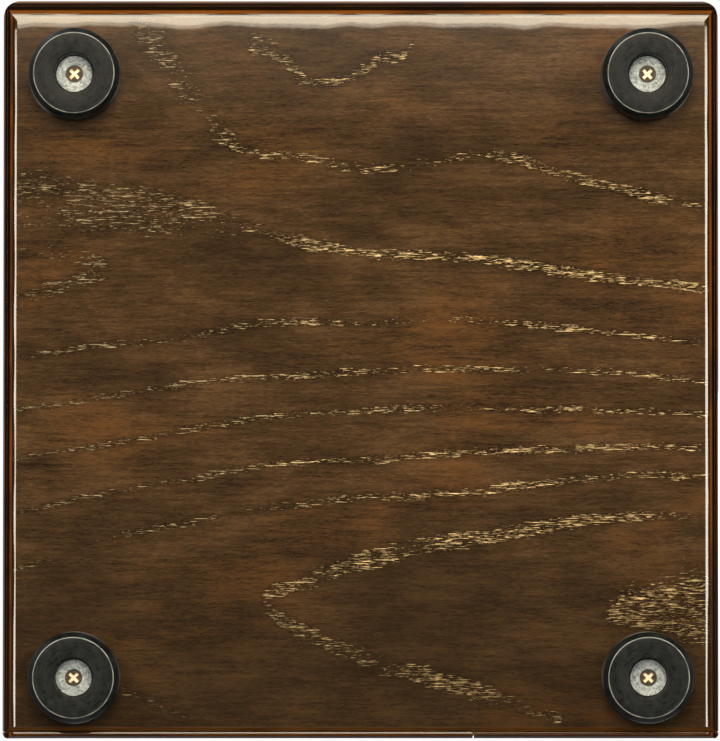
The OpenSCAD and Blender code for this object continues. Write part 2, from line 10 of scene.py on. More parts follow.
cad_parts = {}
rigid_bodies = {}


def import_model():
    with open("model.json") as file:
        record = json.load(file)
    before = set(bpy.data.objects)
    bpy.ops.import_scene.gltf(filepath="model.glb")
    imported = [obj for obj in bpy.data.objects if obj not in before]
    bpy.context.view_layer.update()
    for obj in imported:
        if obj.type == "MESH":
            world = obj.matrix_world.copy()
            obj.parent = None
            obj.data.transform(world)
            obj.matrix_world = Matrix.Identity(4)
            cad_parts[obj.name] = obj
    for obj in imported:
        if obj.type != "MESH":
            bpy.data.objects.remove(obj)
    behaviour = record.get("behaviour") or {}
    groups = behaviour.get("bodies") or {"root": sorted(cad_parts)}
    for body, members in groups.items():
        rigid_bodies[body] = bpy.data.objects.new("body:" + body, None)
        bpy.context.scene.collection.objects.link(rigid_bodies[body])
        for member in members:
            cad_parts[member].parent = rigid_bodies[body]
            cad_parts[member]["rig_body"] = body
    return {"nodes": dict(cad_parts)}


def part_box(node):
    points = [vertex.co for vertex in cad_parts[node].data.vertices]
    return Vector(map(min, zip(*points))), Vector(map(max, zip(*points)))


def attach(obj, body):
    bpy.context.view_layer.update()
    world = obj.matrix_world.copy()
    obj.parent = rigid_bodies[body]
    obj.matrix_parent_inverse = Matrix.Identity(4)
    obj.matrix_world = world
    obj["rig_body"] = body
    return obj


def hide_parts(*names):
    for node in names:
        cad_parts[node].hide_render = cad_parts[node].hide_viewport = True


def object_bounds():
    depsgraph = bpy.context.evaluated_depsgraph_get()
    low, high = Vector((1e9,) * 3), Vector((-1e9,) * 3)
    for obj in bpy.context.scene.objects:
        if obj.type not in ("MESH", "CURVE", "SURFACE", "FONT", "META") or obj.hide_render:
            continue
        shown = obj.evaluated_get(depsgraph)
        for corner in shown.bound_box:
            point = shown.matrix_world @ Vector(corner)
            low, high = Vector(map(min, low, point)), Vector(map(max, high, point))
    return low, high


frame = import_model()
CAD_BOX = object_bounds()
MM = 0.001


def srgb(red, green, blue):
    """A display colour, 0 to 255, as the linear colour that a shader takes."""

    def linear(value):
        share = value / 255
        return share / 12.92 if share <= 0.04045 else ((share + 0.055) / 1.055) ** 2.4

    return (linear(red), linear(green), linear(blue), 1.0)


def scaled(colour, by):
    """A colour made darker or lighter."""
    return tuple(min(1.0, by * part) for part in colour[:3]) + (1.0,)


# ---------- shader building ----------


class Shader:
    """A material's node tree, with short calls that add nodes and link them."""

    def __init__(self, name):
        self.material = bpy.data.materials.new(name)
        self.material.use_nodes = True
        self.tree = self.material.node_tree
        self.tree.nodes.clear()
        self.coords = self.add("ShaderNodeTexCoord")
        self.place = self.vector("SCALE", self.coords.outputs["Object"], scale=1 / MM)

    def add(self, kind, inputs=None, **settings):
        node = self.tree.nodes.new(kind)
        for key, value in settings.items():
            setattr(node, key, value)
        for key, value in (inputs or {}).items():
            if value is not None:
                self.feed(node.inputs[key], value)
        return node

    def feed(self, socket, value):
        if isinstance(value, bpy.types.NodeSocket):
            self.tree.links.new(value, socket)
        else:
            socket.default_value = value

    def math(self, operation, a, b=None, c=None):
        return self.add("ShaderNodeMath", {0: a, 1: b, 2: c}, operation=operation).outputs[0]

    def times(self, a, b):
        return self.math("MULTIPLY", a, b)

    def plus(self, a, b):
        return self.math("ADD", a, b)

    def vector(self, operation, a, b=None, scale=None):
        node = self.add("ShaderNodeVectorMath", {0: a, 1: b, "Scale": scale}, operation=operation)
        return node.outputs["Value"] if operation in ("LENGTH", "DOT_PRODUCT") else node.outputs[0]

    def split(self, vector):
        return self.add("ShaderNodeSeparateXYZ", {0: vector}).outputs[:3]

    def join(self, x, y, z):
        return self.add("ShaderNodeCombineXYZ", {0: x, 1: y, 2: z}).outputs[0]

    def noise(self, vector, scale=1.0, detail=2.0, roughness=0.5):
        inputs = {"Vector": vector, "Scale": scale, "Detail": detail, "Roughness": roughness}
        return self.add("ShaderNodeTexNoise", inputs).outputs[0]

    def cells(self, vector, scale=1.0):
        return self.add("ShaderNodeTexVoronoi", {"Vector": vector, "Scale": scale})

    def ease(self, value, low, high, start=0.0, end=1.0):
        """start where value is at low, end where it is at high, and smooth between them."""
        inputs = {"Value": value, "From Min": low, "From Max": high, "To Min": start, "To Max": end}
        return self.add("ShaderNodeMapRange", inputs, interpolation_type="SMOOTHSTEP").outputs[0]

    def ramp(self, value, stops):
        node = self.add("ShaderNodeValToRGB", {0: value})
        elements = node.color_ramp.elements
        while len(elements) < len(stops):
            elements.new(0.5)
        for element, (position, colour) in zip(elements, stops):
            element.position = position
            element.color = colour
        return node.outputs[0]

    def mix(self, share, a, b):
        node = self.add("ShaderNodeMix", data_type="RGBA")
        self.feed(node.inputs["Factor"], share)
        self.feed(node.inputs["A"], a)
        self.feed(node.inputs["B"], b)
        return node.outputs["Result"]

    def curve(self, value, points):
        """A smooth curve through points whose two numbers lie from 0 to 1."""
        node = self.add("ShaderNodeFloatCurve", {"Value": value})
        line = node.mapping.curves[0].points
        while len(line) < len(points):
            line.new(0.5, 0.5)
        for spot, place in zip(line, points):
            spot.location = place
        node.mapping.extend = "HORIZONTAL"
        node.mapping.update()
        return node.outputs[0]

    def bump(self, height_mm, normal=None):
        """The normal of a relief whose height is in millimetres."""
        inputs = {"Height": height_mm, "Distance": MM, "Strength": 1.0, "Normal": normal}
        return self.add("ShaderNodeBump", inputs).outputs[0]

    def worn_edge(self, radius_mm):
        """The normal with softened edges, and a mask that is 1 along them."""
        soft = self.add("ShaderNodeBevel", {"Radius": radius_mm * MM}, samples=4).outputs[0]
        true = self.add("ShaderNodeNewGeometry").outputs["Normal"]
        return soft, self.ease(self.vector("DOT_PRODUCT", soft, true), 0.99, 0.9)

    def finish(self, colour, roughness, normal=None, coat_normal=None, **uniform):
        """Ends the tree in a Principled shader. uniform values go on its own sockets."""
        inputs = {"Base Color": colour, "Roughness": roughness}
        inputs.update({"Normal": normal, "Coat Normal": coat_normal})
        inputs.update({key.replace("_", " "): value for key, value in uniform.items()})
        surface = self.add("ShaderNodeBsdfPrincipled", inputs)
        output = self.add("ShaderNodeOutputMaterial")
        self.tree.links.new(surface.outputs[0], output.inputs[0])
        return self.material


# ---------- stained ash ----------

# Growth lines on the underside of the bottom board, traced from a photo of the box. For each: how
# open its pores are, and points from the left side (+X) to the right side (-X) as seen from below, each of
# them along X, across Y and half width, in mm
GROWTH_LINES = [
    (0.9, [(50, 77, 5), (43, 68, 5), (36, 59, 4.6), (31, 51.5, 3.6), (26, 47.5, 2)]),
    (1.0, [(32, 50, 1), (24, 47, 1.4), (9, 45.3, 1), (0, 43.4, 1.2), (-13, 44.5, 1.2), (-24, 46.4, 1.4),
           (-35, 45, 1.4), (-43, 42.3, 1.2), (-56, 39, 1.2), (-77, 34, 1.2)]),
    (0.92, [(25, 70, 2.4), (17.5, 68.5, 2.4), (12, 62.5, 1.6), (3.5, 62.5, 1.2), (-4, 67, 1.6),
            (-8.5, 67.6, 1), (-12, 72, 0.8)]),
    (0.86, [(77, 36.5, 6), (60, 35.5, 6.5), (40, 33, 5), (24, 30, 3)]),
    (1.0, [(26, 31, 1.6), (13, 27.5, 1.6), (0, 25, 1.2), (-17, 24.5, 1.2), (-30, 23.2, 1.4),
           (-45, 20.8, 1.2), (-63, 18.4, 1.2), (-77, 17, 1)]),
    (0.9, [(77, 26.5, 2.2), (66, 25, 2), (58, 23.5, 1.8), (54, 21.5, 1.4)]),
    (0.9, [(77, 13.5, 2), (68, 17, 1.8), (59, 19.5, 1.8), (54, 21.5, 1.4)]),
    (0.94, [(77, 2, 0.7), (57, 4.7, 0.7), (35, 7.2, 0.8), (25, 9.4, 0.9), (13, 10.1, 0.9), (2, 9.7, 0.8),
            (-17, 10.6, 0.9), (-39, 9.3, 0.9), (-56, 7.7, 0.7), (-77, 5.2, 0.7)]),
    (0.92, [(77, -9.2, 0.6), (57, -6.4, 0.7), (36, -3.1, 0.7), (17.5, -2, 0.8), (0, -0.7, 0.9),
            (-15, -0.1, 0.8), (-39, -0.3, 0.7), (-56, -1, 0.7), (-77, -3.2, 0.6)]),
    (0.92, [(77, -20, 0.6), (57, -16.8, 0.7), (35, -12.9, 0.7), (17.5, -10.3, 0.8), (0, -9.4, 0.8),
            (-19, -8.6, 0.9), (-41, -8.8, 0.8), (-77, -9.9, 0.7)]),
    (0.94, [(77, -32, 0.6), (52, -26.4, 0.7), (35, -23.6, 0.8), (17.5, -20.7, 0.8), (0, -19.9, 0.8),
            (-19, -18.3, 0.9), (-41, -17.7, 0.9), (-63, -16.8, 0.8), (-77, -17.6, 0.7)]),
    (0.94, [(77, -44.5, 0.8), (62, -39.4, 0.8), (57, -37.3, 0.8), (35, -32.9, 0.8), (17.5, -30.1, 0.9),
            (0, -27.9, 0.9), (-17, -27.3, 0.9), (-35, -25.5, 1), (-52, -23.6, 0.9), (-77, -23.2, 0.8)]),
    (1.0, [(21.5, -49, 0.8), (18, -47.8, 1.6), (13, -46.6, 2), (2.5, -42.7, 2.2), (-15, -37.9, 2.2),
           (-30, -36, 1.8), (-43, -33.6, 1.8), (-52, -32.6, 1.4), (-72, -32, 0.8)]),
    (1.0, [(21.5, -50.5, 0.8), (17.5, -54, 2), (9, -58.5, 2.2), (0, -62.2, 2.2), (-8.5, -65, 2.4),
           (-19, -68, 2.4), (-30, -71.5, 2), (-44, -76, 1.4)]),
    (1.0, [(-52.5, -53.5, 1.2), (-55, -52.5, 3.4), (-58, -51.7, 4.8), (-62, -51.5, 6), (-68, -51.5, 7.4),
           (-77, -52, 9)]),
    (0.8, [(53, -69, 0.8), (46, -71.5, 1), (37, -75.5, 0.8)]),
]
BOARD_HALF = 80     # the growth lines' curves span this far either way, in mm
OPEN_END = 75       # a growth line that ends nearer the middle than this fades out there, in mm
DARK = {
    "deep": srgb(34, 24, 13),
    "middle": srgb(67, 49, 30),
    "light": srgb(100, 74, 46),
    "amber": srgb(100, 64, 30),
    "chamfer": srgb(150, 98, 44),
    "pore": srgb(250, 216, 152),
    "dull_pore": srgb(190, 170, 128),
    "edge": srgb(112, 62, 16),
    # The last two tones are painted shade on the rounds, which turn away from the light
    "edge_shade": srgb(30, 15, 4),
    "edge_deep": srgb(5, 3, 1),
}


def wood_place(s, grain):
    """The place in the wood, in millimetres: along the grain, across it, and deep."""
    x, y, z = s.split(s.place)
    return {"x": (x, y, z), "y": (y, x, z)}[grain]


def growth_line(s, along, across, points):
    """1 on a traced growth line, 0 from its half width outwards."""
    points = sorted(points)

    def unit(value):
        return (value + BOARD_HALF) / (2 * BOARD_HALF)

    share = s.math("MULTIPLY_ADD", along, 1 / (2 * BOARD_HALF), 0.5)
    line = s.curve(share, [(unit(a), unit(b)) for a, b, _ in points])
    widest = max(w for _, _, w in points)
    width = s.curve(share, [(unit(a), w / widest) for a, _, w in points])
    line = s.math("MULTIPLY_ADD", line, 2 * BOARD_HALF, -BOARD_HALF)
    off = s.math("ABSOLUTE", s.math("SUBTRACT", across, line))
    near = s.math("DIVIDE", off, s.times(width, widest))
    band = s.ease(near, 1.7, 0.5)
    for end, inward in ((points[0][0], 1), (points[-1][0], -1)):
        if abs(end) < OPEN_END:
            band = s.times(band, s.ease(along, end - inward, end + 1.5 * inward))
    return band


def traced_rings(s, along, across, deep):
    """Bands of open pores along the traced growth lines."""
    wander = s.noise(s.join(s.times(along, 0.09), s.times(across, 0.3), deep), detail=3)
    reach = 1.2
    across = s.plus(across, s.math("MULTIPLY_ADD", wander, 2 * reach, -reach))
    bands = None
    for strength, points in GROWTH_LINES:
        band = s.times(growth_line(s, along, across, points), strength)
        bands = band if bands is None else s.math("MAXIMUM", bands, band)
    return bands


def round_rings(s, along, across, deep, pith=(10.0, -38.0), spacing=11.0, lean=0.07):
    """Bands of open pores along rings about a pith that leans a little away from the grain."""
    bend = s.noise(s.join(s.times(along, 0.011), s.times(across, 0.02), 0.0), detail=2)
    sway = 13.0
    side = s.math("SUBTRACT", across, s.math("MULTIPLY_ADD", bend, 2 * sway, pith[0] - sway))
    depth = s.math("MULTIPLY_ADD", along, lean, s.math("SUBTRACT", deep, pith[1]))
    radius = s.math("SQRT", s.plus(s.times(side, side), s.times(depth, depth)))
    wander = s.noise(s.join(s.times(along, 0.025), s.times(across, 0.1), deep), detail=3)
    radius = s.math("MULTIPLY_ADD", wander, 5.0, radius)
    phase = s.math("FRACT", s.math("DIVIDE", radius, spacing))
    return s.times(s.ease(phase, 0.0, 0.04), s.ease(phase, 0.26, 0.06))


def ash(name, grain, rings, tones, gloss, soften=0.0, wave=0.08):
    """Open-pored ash: short fibres, cloudy stain, bands of filled pores, rounds painted dark as shade, with
    an amber line.
    soften is the radius of its worn edges in mm, and wave is how far its lacquer swells."""
    s = Shader(name)
    along, across, deep = wood_place(s, grain)

    def stretched(length, width, slide=0.0):
        return s.join(
            s.math("MULTIPLY_ADD", along, 1 / length, slide),
            s.times(across, 1 / width),
            s.times(deep, 1 / width),
        )

    bands = rings(s, along, across, deep)
    thin_out = s.noise(stretched(26, 12, 11.0), detail=2)
    bands = s.times(bands, s.ease(thin_out, 0.3, 0.55, 0.6, 1.0))
    fibre = s.noise(stretched(1.4, 0.22), detail=5, roughness=0.8)
    streak = s.noise(stretched(9, 0.7, 3.0), detail=3, roughness=0.7)
    cloud = s.noise(stretched(24, 9, 7.0), detail=5, roughness=0.68)
    patch = s.noise(stretched(40, 22, 19.0), detail=4, roughness=0.6)
    tone = s.math("MULTIPLY_ADD", fibre, 0.42, s.times(streak, 0.22))
    tone = s.math("MULTIPLY_ADD", cloud, 0.36, tone)
    wood = s.ramp(tone, [(0.37, tones["deep"]), (0.5, tones["middle"]), (0.61, tones["light"])])
    amber = s.times(s.ease(patch, 0.5, 0.66), s.ease(tone, 0.44, 0.58))
    wood = s.mix(s.times(amber, 0.6), wood, tones["amber"])
    wood = s.mix(s.ease(patch, 0.48, 0.32, 0.0, 0.35), wood, tones["deep"])
    wood = s.mix(s.times(bands, 0.3), wood, tones["deep"])

    dashes, shades = None, None
    closed = 0.78       # no pore opens at this threshold
    for length, width, slide, opening in ((4.4, 0.24, 0.0, 0.575), (2.2, 0.17, 31.0, 0.565)):
        pore = s.noise(stretched(length, width, slide), detail=3.0, roughness=0.6)
        lip = s.math("MULTIPLY_ADD", bands, opening - closed, closed)
        open_by = s.math("SUBTRACT", pore, lip)
        dash, shade = s.ease(open_by, 0.0, 0.04), s.ease(open_by, -0.08, -0.01)
        dashes = dash if dashes is None else s.math("MAXIMUM", dashes, dash)
        shades = shade if shades is None else s.math("MAXIMUM", shades, shade)
    shine = s.noise(stretched(1.6, 0.5, 57.0), detail=2)
    dashes = s.times(dashes, s.ease(shine, 0.34, 0.6, 0.3, 1.0))
    shades = s.times(shades, s.ease(bands, 0.0, 0.4))
    wood = s.mix(s.times(shades, 0.75), wood, tones["deep"])
    filled = s.mix(s.ease(along, -20, 60), tones["pore"], tones["dull_pore"])
    wood = s.mix(dashes, wood, filled)

    # 1 where a face lies square to an axis, less on its rounds, and the square root of a half on chamfers
    nx, ny, nz = s.split(s.vector("ABSOLUTE", s.coords.outputs["Normal"]))
    flat = s.math("MAXIMUM", s.math("MAXIMUM", nx, ny), nz)
    patchy = s.ease(s.noise(s.place, 0.06), 0.35, 0.6, 0.35, 1.0)
    # Painted shade on the rounds: dark where they start to turn and near black further round, with an amber
    # line between
    wood = s.mix(s.times(s.ease(flat, 0.992, 0.97), 0.8), wood, tones["edge_shade"])
    wood = s.mix(s.times(s.ease(flat, 0.945, 0.915), patchy), wood, tones["edge"])
    wood = s.mix(s.times(s.ease(flat, 0.88, 0.83), 0.97), wood, tones["edge_deep"])

    chamfer = s.ease(s.math("ABSOLUTE", s.math("SUBTRACT", flat, math.sqrt(0.5))), 0.004, 0.002)
    wood = s.mix(s.times(chamfer, s.ease(streak, 0.3, 0.6, 0.4, 1.0)), wood, tones["chamfer"])

    swell = s.noise(s.place, 0.05, 1)
    sanding = s.times(swell, s.times(s.ease(flat, 1.0, 0.95, 0.1, 1.0), wave))
    sanding = s.math("MULTIPLY_ADD", fibre, 0.001, sanding)
    if rings is traced_rings:
        sanding = s.plus(sanding, rolled_edge(s, along, across))
        # Painted shade: the bottom board is darkened towards its front edge (-Y), where less light falls
        wood = s.mix(s.ease(across, -78, -15, 0.5, 0.0), wood, tones["deep"])
    height = s.math("MULTIPLY_ADD", dashes, -0.03, s.times(fibre, 0.012))
    roughness = s.ease(fibre, 0.3, 0.7, 0.34, 0.46)
    soft = None
    if soften:
        soft, edge = s.worn_edge(soften)
        wood = s.mix(s.times(edge, s.ease(cloud, 0.35, 0.6, 0.2, 0.8)), wood, tones["edge"])
    return s.finish(wood, roughness, s.bump(height, soft), s.bump(sanding, soft), **gloss)


def rolled_edge(s, along, across, start=73.7, wander=5.0, reach=3.0, fall=0.009):
    """The lacquer rolls off unevenly towards the back round."""
    wave = s.noise(s.join(s.times(along, 0.045), 0.0, 5.0), detail=3, roughness=0.55)
    edge = s.math("MULTIPLY_ADD", wave, wander, start - wander / 2)
    past = s.math("MINIMUM", s.math("MAXIMUM", s.math("SUBTRACT", across, edge), 0.0), reach)
    return s.times(s.times(past, past), -fall)


# ---------- other materials ----------


def round_place(s):
    """Radius, angle and height about the piece's own vertical axis, the lengths in millimetres."""
    x, y, z = s.split(s.place)
    flat = s.join(x, y, 0.0)
    return s.vector("LENGTH", flat), s.math("ARCTAN2", y, x), z


def rubber():
    """Moulded rubber: near black, with fine rings of wear, dust in patches, and a painted highlight along
    its bevelled rim.
    """
    s = Shader("rubber")
    radius, angle, z = round_place(s)
    rings = s.noise(s.join(s.times(radius, 5.0), s.times(angle, 1.6), 0.0), 1.0, 4, 0.7)
    scuffs = s.noise(s.vector("ADD", s.place, (0.0, 0.0, 40.0)), 0.45, 5, 0.7)
    scratch = s.cells(s.join(s.times(radius, 3.0), s.times(angle, 0.9), z))
    line = s.ease(scratch.outputs["Distance"], 0.16, 0.04)
    line = s.times(line, s.math("GREATER_THAN", s.split(scratch.outputs["Color"])[0], 0.6))
    colour = s.mix(s.ease(scuffs, 0.4, 0.75), srgb(13, 16, 15), srgb(33, 37, 35))
    colour = s.mix(s.ease(rings, 0.45, 0.7, 0.0, 0.35), colour, srgb(58, 61, 58))
    colour = s.mix(s.times(line, 0.3), colour, srgb(96, 98, 92))
    upright = s.math("ABSOLUTE", s.split(s.coords.outputs["Normal"])[2])
    # Painted highlight: a pale grey line along the foot's bevelled rim, broken up by noise
    painted_rim_highlight = s.times(s.ease(upright, 0.99, 0.95), s.ease(upright, 0.68, 0.76))
    painted_rim_highlight = s.times(painted_rim_highlight, s.ease(radius, 6.0, 7.0))
    painted_rim_highlight = s.times(painted_rim_highlight, s.ease(s.noise(s.place, 0.3, 3), 0.3, 0.62, 0.3, 1.0))
    colour = s.mix(painted_rim_highlight, colour, srgb(150, 152, 145))
    height = s.plus(s.times(rings, 0.006), s.times(scuffs, 0.01))
    roughness = s.ease(s.plus(rings, scuffs), 0.7, 1.3, 0.24, 0.38)
    return s.finish(colour, roughness, s.bump(height), Specular_IOR_Level=0.12)


def zinc():
    """Galvanised steel: bluish crystals, dark specks and turned rings."""
    s = Shader("zinc")
    radius, angle, _ = round_place(s)
    crystals = s.cells(s.place, 1.9)
    tone = s.split(crystals.outputs["Color"])[0]
    specks = s.noise(s.place, 2.6, 5, 0.7)
    rings = s.noise(s.join(s.times(radius, 9.0), s.times(angle, 1.2), 3.0), 1.0, 3)
    colour = s.mix(tone, srgb(132, 144, 148), srgb(200, 208, 208))
    colour = s.mix(s.ease(specks, 0.52, 0.68), colour, srgb(26, 34, 38))
    colour = s.mix(s.ease(rings, 0.5, 0.75, 0.0, 0.5), colour, srgb(222, 228, 226))
    height = s.plus(s.times(specks, 0.05), s.times(rings, 0.02))
    return s.finish(colour, s.ease(specks, 0.3, 0.7, 0.4, 0.6), s.bump(height), Metallic=0.35)


def screw_metal(recess_z=4.45):
    """A bronzed screw head with a painted highlight in its cross recess, which lies above recess_z."""
    s = Shader("screw_brass")
    z = s.split(s.place)[2]
    spots = s.noise(s.place, 3.5, 4, 0.7)
    painted_recess_highlight = s.times(s.ease(z, recess_z - 0.15, recess_z + 0.1), s.ease(z, 8.0, 7.5))
    # The head is dark bronze, painted darker still as shade for the dark room its top would mirror; the
    # recess is painted cream as a highlight
    head = s.mix(s.ease(spots, 0.42, 0.66), srgb(22, 17, 10), srgb(96, 76, 46))
    recess = s.mix(s.ease(spots, 0.5, 0.68), srgb(255, 244, 214), srgb(214, 170, 96))
    height = s.bump(s.times(spots, 0.03))
    return s.finish(s.mix(painted_recess_highlight, head, recess), s.ease(spots, 0.3, 0.7, 0.3, 0.5), height, Metallic=0.4)


def metal(name, base, tarnish, roughness):
    """Metal brushed along X, with tarnish in patches and bright worn edges."""
    s = Shader(name)
    brush = (0.25, 3.0, 3.0)
    fine = s.join(*(s.times(part, by) for part, by in zip(s.split(s.place), brush)))
    brushed = s.noise(fine, 2.0, 3, 0.7)
    stain = s.noise(s.place, 0.22, 5, 0.62)
    dints = s.noise(s.place, 0.9, 3, 0.5)
    soft, edge = s.worn_edge(0.35)
    colour = s.mix(s.ease(brushed, 0.3, 0.7, 0.0, 0.5), base, scaled(base, 0.6))
    colour = s.mix(s.ease(stain, 0.5, 0.7, 0.0, 0.6), colour, tarnish)
    colour = s.mix(s.times(edge, 0.7), colour, scaled(base, 1.5))
    height = s.math("MULTIPLY_ADD", brushed, 0.006, s.times(dints, 0.03))
    rough = s.plus(s.ease(brushed, 0.3, 0.7, *roughness), s.ease(stain, 0.4, 0.7, 0.0, 0.14))
    return s.finish(colour, rough, s.bump(height, soft), Metallic=1.0)


def felted():
    """Pressed wool: tangled fibres, lint, and a soft sheen at low angles."""
    s = Shader("felt")
    tangle = s.noise(s.place, 1.6, 6, 0.75)
    cloud = s.noise(s.place, 0.06, 4, 0.6)
    swirl = s.add("ShaderNodeTexNoise", {"Vector": s.place, "Scale": 0.8}).outputs[1]
    fibre = s.cells(s.vector("ADD", s.place, swirl), 1.9)
    hair = s.ease(fibre.outputs["Distance"], 0.1, 0.4)
    colour = s.mix(s.ease(tangle, 0.36, 0.64), srgb(58, 8, 12), srgb(112, 24, 28))
    colour = s.mix(s.ease(cloud, 0.4, 0.65, 0.0, 0.35), colour, srgb(92, 22, 34))
    lint = s.ease(s.noise(s.place, 2.7, 2), 0.7, 0.76, 0.0, 0.6)
    colour = s.mix(lint, colour, srgb(190, 150, 140))
    height = s.math("MULTIPLY_ADD", hair, 0.08, s.times(tangle, 0.3))
    return s.finish(colour, s.ease(tangle, 0.3, 0.7, 0.85, 0.98), s.bump(height),
                    Sheen_Weight=0.12, Sheen_Roughness=0.5, Specular_IOR_Level=0.15)


def faint_rings(s, along, across, deep):
    """Maple's rings: close together and hardly seen."""
    return s.times(round_rings(s, along, across, deep, spacing=9.0), 0.3)


PALE = {
    "deep": srgb(150, 116, 76),
    "middle": srgb(190, 156, 110),
    "light": srgb(212, 182, 136),
    "amber": srgb(198, 150, 92),
    "chamfer": srgb(206, 174, 128),
    "pore": srgb(112, 80, 46),
    "dull_pore": srgb(126, 92, 56),
    "edge": srgb(176, 136, 88),
    # The last two tones, painted shade on the rounds, stay near the middle tone so the pale rounds show no
    # dark lines
    "edge_shade": srgb(182, 146, 98),
    "edge_deep": srgb(172, 136, 90),
}
MAPLE = {key: scaled(tone, 1.18) for key, tone in PALE.items()}
LACQUER = {"Coat_Weight": 1.0, "Coat_Roughness": 0.05, "Coat_IOR": 1.6, "Specular_IOR_Level": 0.0}
SATIN = {"Specular_IOR_Level": 0.35}
FINISHES = {
    "bottom_ash": ash("bottom_ash", "x", traced_rings, DARK, LACQUER),
    "dark_ash_x": ash("dark_ash_x", "x", round_rings, DARK, LACQUER, 0.4),
    "dark_ash_y": ash("dark_ash_y", "y", round_rings, DARK, LACQUER, 0.4),
    "pale_ash_x": ash("pale_ash_x", "x", round_rings, PALE, SATIN, 0.3),
    "pale_ash_y": ash("pale_ash_y", "y", round_rings, PALE, SATIN, 0.3),
    "maple": ash("maple", "x", faint_rings, MAPLE, SATIN, 0.3),
    "brass": metal("brass", srgb(222, 184, 112), srgb(140, 104, 54), (0.34, 0.52)),
    "steel": metal("steel", srgb(176, 178, 181), srgb(100, 98, 96), (0.32, 0.52)),
    "zinc": zinc(),
    "screw_brass": screw_metal(),
    "rubber": rubber(),
    "felt": felted(),
}
ALONG_Y = {"left_wall", "right_wall", "drawer_front", "drawer_back", "lid_batten_left", "lid_batten_right"}


def dress_cad_nodes():
    """Gives every CAD node the finish of its material slot, with the grain along the board."""
    for name, node in frame["nodes"].items():
        finish = node.data.materials[0].name.split(".")[0]
        if name == "base_board":
            finish = "bottom_ash"
        elif finish.endswith("_ash"):
            finish += "_y" if name in ALONG_Y else "_x"
        node.data.materials[0] = FINISHES[finish]


# ---------- pieces ----------


def rounded(corners, steps=6):
    """A closed profile from (radius, height, round) corners, with every round drawn in."""
    line = []
    for k, (x, y, round_r) in enumerate(corners):
        here = Vector((x, y))
        if not round_r:
            line.append((x, y))
            continue
        before = (Vector(corners[k - 1][:2]) - here).normalized()
        after = (Vector(corners[(k + 1) % len(corners)][:2]) - here).normalized()
        half = before.angle(after) / 2
        back_off = round_r / math.tan(half)
        centre = here + (before + after).normalized() * (round_r / math.sin(half))
        first, last = here + before * back_off - centre, here + after * back_off - centre
        for step in range(steps + 1):
            line.append(tuple(centre + first.slerp(last, step / steps).normalized() * round_r))
    return line


def new_piece(name, mesh, node, finish, place=(0, 0, 0)):
    """Puts a mesh in the scene where a CAD node is, riding on the same body."""
    piece = bpy.data.objects.new(name, mesh)
    piece.location = place
    mesh.materials.append(FINISHES[finish])
    bpy.context.scene.collection.objects.link(piece)
    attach(piece, frame["nodes"][node]["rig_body"])
    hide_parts(node)
    return piece


def shade_by_angle(mesh, limit=35):
    """Smooth shading, apart from edges sharper than the limit in degrees."""
    form = bmesh.new()
    form.from_mesh(mesh)
    for face in form.faces:
        face.smooth = True
    for edge in form.edges:
        edge.smooth = not edge.is_manifold or edge.calc_face_angle(0.0) < math.radians(limit)
    form.to_mesh(mesh)
    form.free()


def turned_mesh(name, profile, steps=128):
    """A closed ring turned about the vertical axis, from a profile of (radius, height) in millimetres."""
    form = bmesh.new()
    turns = [2 * math.pi * k / steps for k in range(steps)]
    rings = []
    for radius, height in profile:
        r, z = radius * MM, height * MM
        rings.append([form.verts.new((r * math.cos(t), r * math.sin(t), z)) for t in turns])
    for low, high in zip(rings, rings[1:] + rings[:1]):
        for k in range(steps):
            after = (k + 1) % steps
            form.faces.new([low[k], low[after], high[after], high[k]])
    bmesh.ops.recalc_face_normals(form, faces=form.faces)
    mesh = bpy.data.meshes.new(name)
    form.to_mesh(mesh)
    form.free()
    shade_by_angle(mesh)
    return mesh


def node_centre(node):
    """The middle of a CAD node's footprint, at ground level."""
    low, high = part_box(node)
    return Vector(((low.x + high.x) / 2, (low.y + high.y) / 2, 0))


FEET = [f"foot_{row}_{side}" for row in ("front", "back") for side in ("left", "right")]
# A foot's bore, in mm: radii of the screw hole, the washer's seat and the counterbore, and the heights of
# the seat and of the step around it
HOLE_R, SEAT_R, COUNTERBORE_R = 1.3, 3.9, 4.15
SEAT_Z, STEP_Z = 4.8, 4.0
# Its ground face, in mm: how far the bevel cuts in at the bottom and at the side, and how high it goes
RIM_IN, BEVEL_IN, BEVEL_H = 1.3, 0.2, 1.7


def add_feet():
    """Feet with a softened bevel, a rounded counterbore and a step for the washer."""
    low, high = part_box(FEET[0])
    outer, tall = (high.x - low.x) / 2 / MM, high.z / MM
    profile = rounded([
        (HOLE_R, tall, 0), (HOLE_R, SEAT_Z, 0), (SEAT_R, SEAT_Z, 0), (SEAT_R, STEP_Z, 0),
        (COUNTERBORE_R, STEP_Z, 0), (COUNTERBORE_R, 0.0, 0.3),
        (outer - RIM_IN, 0.0, 0.45), (outer - BEVEL_IN, BEVEL_H, 0.8), (outer, tall, 0),
    ])
    for node in FEET:
        new_piece(f"{node}_rubber", turned_mesh(node, profile), node, "rubber", node_centre(node))


